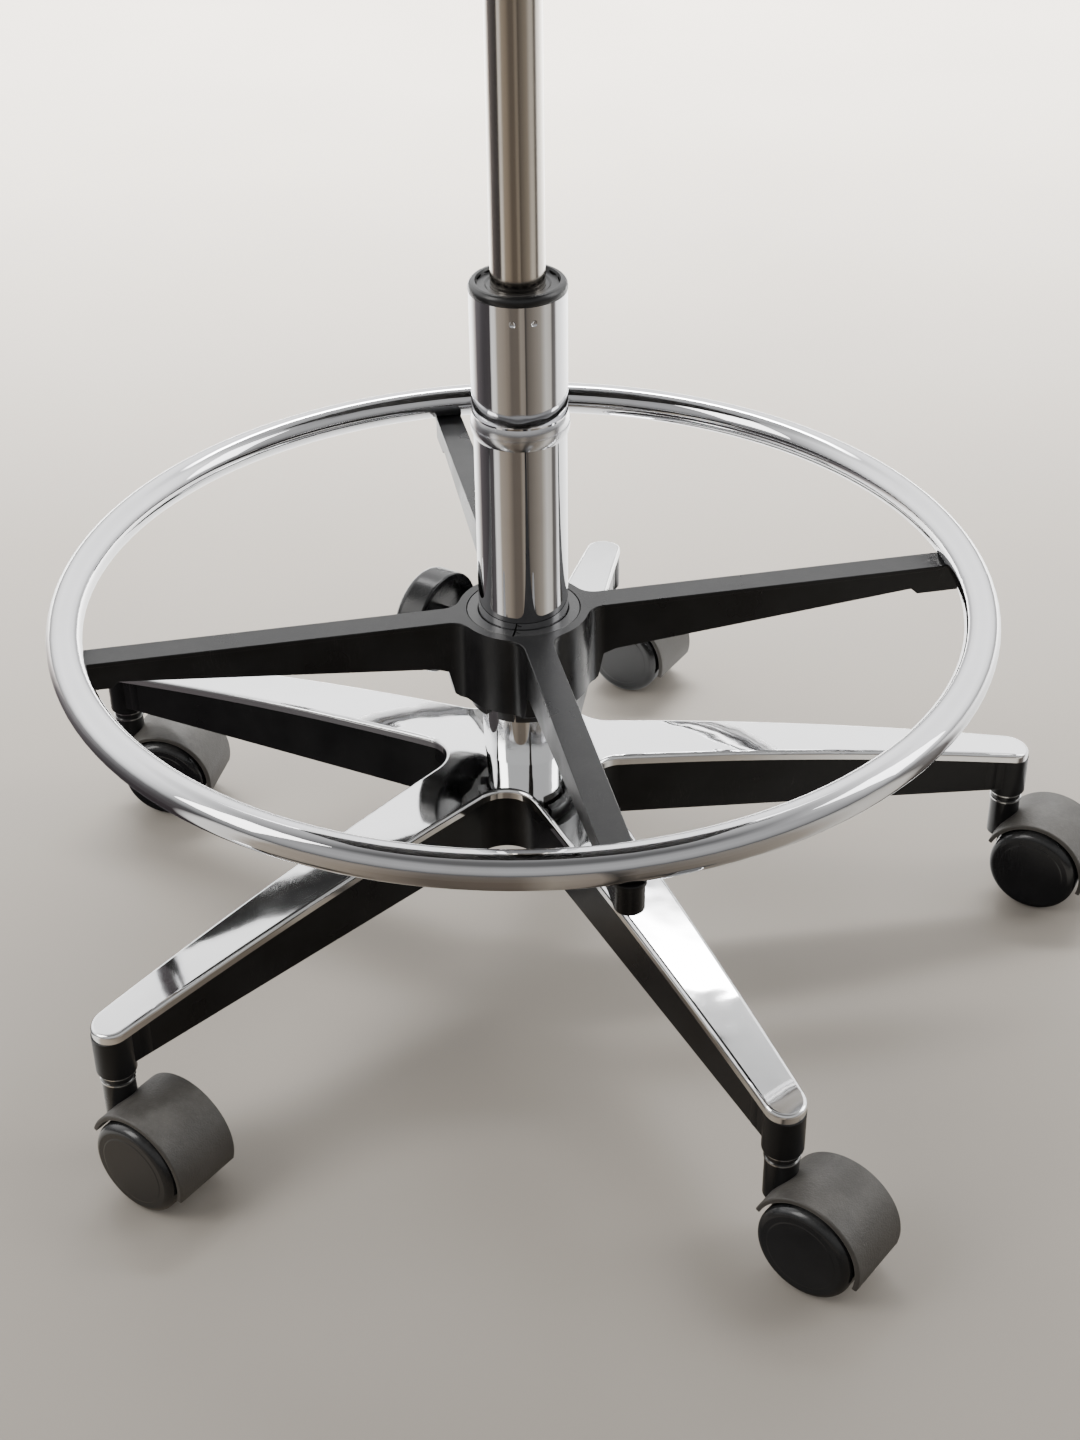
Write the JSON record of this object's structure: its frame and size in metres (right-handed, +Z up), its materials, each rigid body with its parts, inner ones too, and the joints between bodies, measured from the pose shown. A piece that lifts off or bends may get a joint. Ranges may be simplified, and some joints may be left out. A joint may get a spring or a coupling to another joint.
{
  "type": "drafting chair",
  "caption": "Drafting chair with a polished star base on hooded casters, gas lift column, adjustable chrome foot ring, padded seat and back.",
  "frame": {"origin": "on the floor, under the axis of the column", "axes": "+Z up along the column, the seat faces -Y, +X to the right of the pictured view"},
  "size_m": [0.6078, 0.6252, 1.115],
  "materials": {
    "polished_aluminium": "mirror polished",
    "black_casting": "satin black powder coat",
    "chrome_tube": "polished chrome plate",
    "cylinder_steel": "ground and lightly brushed",
    "guide_plastic": "fine satin",
    "collet_black": "satin black",
    "bright_steel": "bright zinc plate",
    "black_screws": "black oxide",
    "sleeve_nylon": "plain",
    "bumper_rubber": "matte",
    "fork_plastic": "semi-gloss moulding",
    "hood_plastic": "fine spark-eroded texture",
    "wheel_plastic": "semi-gloss moulding",
    "black_steel": "black powder coat",
    "grip_plastic": "fine texture",
    "shell_plastic": "fine texture",
    "upholstery": "plain woven black fabric"
  },
  "bodies": {
    "base": {"base_star_top": "polished_aluminium", "base_underframe": "black_casting", "caster_grip_sleeves": "sleeve_nylon", "column_tube": "chrome_tube", "column_sleeve": "chrome_tube", "guide_bushing": "guide_plastic", "thrust_bearing": "bright_steel"},
    "caster_1": {"caster_1_fork": "fork_plastic", "caster_1_hood": "hood_plastic", "caster_1_stem": "bright_steel", "caster_1_axle": "bright_steel"},
    "caster_1_left": {"caster_1_left_wheel": "wheel_plastic"},
    "caster_1_right": {"caster_1_right_wheel": "wheel_plastic"},
    "caster_2": {"caster_2_fork": "fork_plastic", "caster_2_hood": "hood_plastic", "caster_2_stem": "bright_steel", "caster_2_axle": "bright_steel"},
    "caster_2_left": {"caster_2_left_wheel": "wheel_plastic"},
    "caster_2_right": {"caster_2_right_wheel": "wheel_plastic"},
    "caster_3": {"caster_3_fork": "fork_plastic", "caster_3_hood": "hood_plastic", "caster_3_stem": "bright_steel", "caster_3_axle": "bright_steel"},
    "caster_3_left": {"caster_3_left_wheel": "wheel_plastic"},
    "caster_3_right": {"caster_3_right_wheel": "wheel_plastic"},
    "caster_4": {"caster_4_fork": "fork_plastic", "caster_4_hood": "hood_plastic", "caster_4_stem": "bright_steel", "caster_4_axle": "bright_steel"},
    "caster_4_left": {"caster_4_left_wheel": "wheel_plastic"},
    "caster_4_right": {"caster_4_right_wheel": "wheel_plastic"},
    "caster_5": {"caster_5_fork": "fork_plastic", "caster_5_hood": "hood_plastic", "caster_5_stem": "bright_steel", "caster_5_axle": "bright_steel"},
    "caster_5_left": {"caster_5_left_wheel": "wheel_plastic"},
    "caster_5_right": {"caster_5_right_wheel": "wheel_plastic"},
    "ring_collet": {"lock_collet": "collet_black"},
    "foot_ring": {"foot_ring_tube": "chrome_tube", "foot_ring_spider": "black_casting", "foot_ring_screws": "black_screws"},
    "clamp_screw": {"clamp_knob": "grip_plastic"},
    "swivel_rod": {"piston_rod": "bright_steel", "rod_clip": "bright_steel", "lift_bumper": "bumper_rubber"},
    "lift": {"gas_cylinder": "cylinder_steel", "seat_mechanism": "black_steel", "lever_pivot_pin": "bright_steel", "seat_shell": "shell_plastic", "seat_cushion": "upholstery", "mechanism_bolts": "black_screws", "back_bar": "black_steel"},
    "valve": {"valve_pin": "bright_steel"},
    "lever": {"height_lever": "black_steel", "lever_grip": "grip_plastic"},
    "slider": {"back_slider": "grip_plastic", "back_pivot_pin": "bright_steel"},
    "knob": {"back_knob": "grip_plastic"},
    "backrest": {"back_shell": "shell_plastic", "back_cushion": "upholstery"}
  },
  "joints": [
    {"name": "caster_1_swivel", "type": "hinge", "parent": "base", "child": "caster_1", "pos_m": [0.28591, 0.0346, 0.06], "axis": [0, 0, 1], "continuous": true},
    {"name": "caster_1_left_roll", "type": "hinge", "parent": "caster_1", "child": "caster_1_left", "pos_m": [0.3093, 0.0211, 0.0265], "axis": [0.5, 0.866, 0], "continuous": true},
    {"name": "caster_1_right_roll", "type": "hinge", "parent": "caster_1", "child": "caster_1_right", "pos_m": [0.3093, 0.0211, 0.0265], "axis": [0.5, 0.866, 0], "continuous": true},
    {"name": "caster_2_swivel", "type": "hinge", "parent": "base", "child": "caster_2", "pos_m": [0.05545, 0.28261, 0.06], "axis": [0, 0, 1], "continuous": true},
    {"name": "caster_2_left_roll", "type": "hinge", "parent": "caster_2", "child": "caster_2_left", "pos_m": [0.07822, 0.2681, 0.0265], "axis": [0.5373, 0.8434, 0], "continuous": true},
    {"name": "caster_2_right_roll", "type": "hinge", "parent": "caster_2", "child": "caster_2_right", "pos_m": [0.07822, 0.2681, 0.0265], "axis": [0.5373, 0.8434, 0], "continuous": true},
    {"name": "caster_3_swivel", "type": "hinge", "parent": "base", "child": "caster_3", "pos_m": [-0.25165, 0.14006, 0.06], "axis": [0, 0, 1], "continuous": true},
    {"name": "caster_3_left_roll", "type": "hinge", "parent": "caster_3", "child": "caster_3_left", "pos_m": [-0.22529, 0.13422, 0.0265], "axis": [0.2164, 0.9763, 0], "continuous": true},
    {"name": "caster_3_right_roll", "type": "hinge", "parent": "caster_3", "child": "caster_3_right", "pos_m": [-0.22529, 0.13422, 0.0265], "axis": [0.2164, 0.9763, 0], "continuous": true},
    {"name": "caster_4_swivel", "type": "hinge", "parent": "base", "child": "caster_4", "pos_m": [-0.21097, -0.19605, 0.06], "axis": [0, 0, 1], "continuous": true},
    {"name": "caster_4_left_roll", "type": "hinge", "parent": "caster_4", "child": "caster_4_left", "pos_m": [-0.18927, -0.21211, 0.0265], "axis": [0.5948, 0.8039, 0], "continuous": true},
    {"name": "caster_4_right_roll", "type": "hinge", "parent": "caster_4", "child": "caster_4_right", "pos_m": [-0.18927, -0.21211, 0.0265], "axis": [0.5948, 0.8039, 0], "continuous": true},
    {"name": "caster_5_swivel", "type": "hinge", "parent": "base", "child": "caster_5", "pos_m": [0.12126, -0.26123, 0.06], "axis": [0, 0, 1], "continuous": true},
    {"name": "caster_5_left_roll", "type": "hinge", "parent": "caster_5", "child": "caster_5_left", "pos_m": [0.14242, -0.278, 0.0265], "axis": [0.6211, 0.7837, 0], "continuous": true},
    {"name": "caster_5_right_roll", "type": "hinge", "parent": "caster_5", "child": "caster_5_right", "pos_m": [0.14242, -0.278, 0.0265], "axis": [0.6211, 0.7837, 0], "continuous": true},
    {"name": "foot_ring_height", "type": "slide", "parent": "base", "child": "ring_collet", "axis": [0, 0, 1], "range_m": [-0.025, 0.1]},
    {"name": "foot_ring_twist", "type": "hinge", "parent": "ring_collet", "child": "foot_ring", "pos_m": [0, 0, 0.2], "axis": [0, 0, 1], "range_deg": [0, 40]},
    {"name": "clamp_knob_turn", "type": "hinge", "parent": "foot_ring", "child": "clamp_screw", "pos_m": [-0.04963, 0.03372, 0.1896], "axis": [-0.8271, 0.5621, 0], "continuous": true},
    {"name": "seat_swivel", "type": "hinge", "parent": "base", "child": "swivel_rod", "pos_m": [0, 0, 0.4], "axis": [0, 0, 1], "continuous": true},
    {"name": "seat_height", "type": "slide", "parent": "swivel_rod", "child": "lift", "axis": [0, 0, 1], "range_m": [-0.195, 0.025]},
    {"name": "height_lever_lift", "type": "hinge", "parent": "lift", "child": "lever", "pos_m": [0.045, 0, 0.6865], "axis": [0, -1, 0], "range_deg": [0, 4], "stiffness_Nm_per_rad": 3},
    {"name": "valve_press", "type": "slide", "parent": "lift", "child": "valve", "axis": [0, 0, -1], "range_m": [0, 0.004], "stiffness_N_per_m": 1500},
    {"name": "back_height", "type": "slide", "parent": "lift", "child": "slider", "axis": [0, 0, 1], "range_m": [-0.03, 0.035]},
    {"name": "back_knob_turn", "type": "hinge", "parent": "slider", "child": "knob", "pos_m": [0, 0.3, 0.885], "axis": [0, 1, 0], "continuous": true},
    {"name": "back_tilt", "type": "hinge", "parent": "slider", "child": "backrest", "pos_m": [0, 0.256, 0.9], "axis": [1, 0, 0], "range_deg": [-8, 8]}
  ],
  "couplings": [
    {"joint": "valve_press", "follows": "height_lever_lift", "m_per_rad": 0.0525}
  ]
}
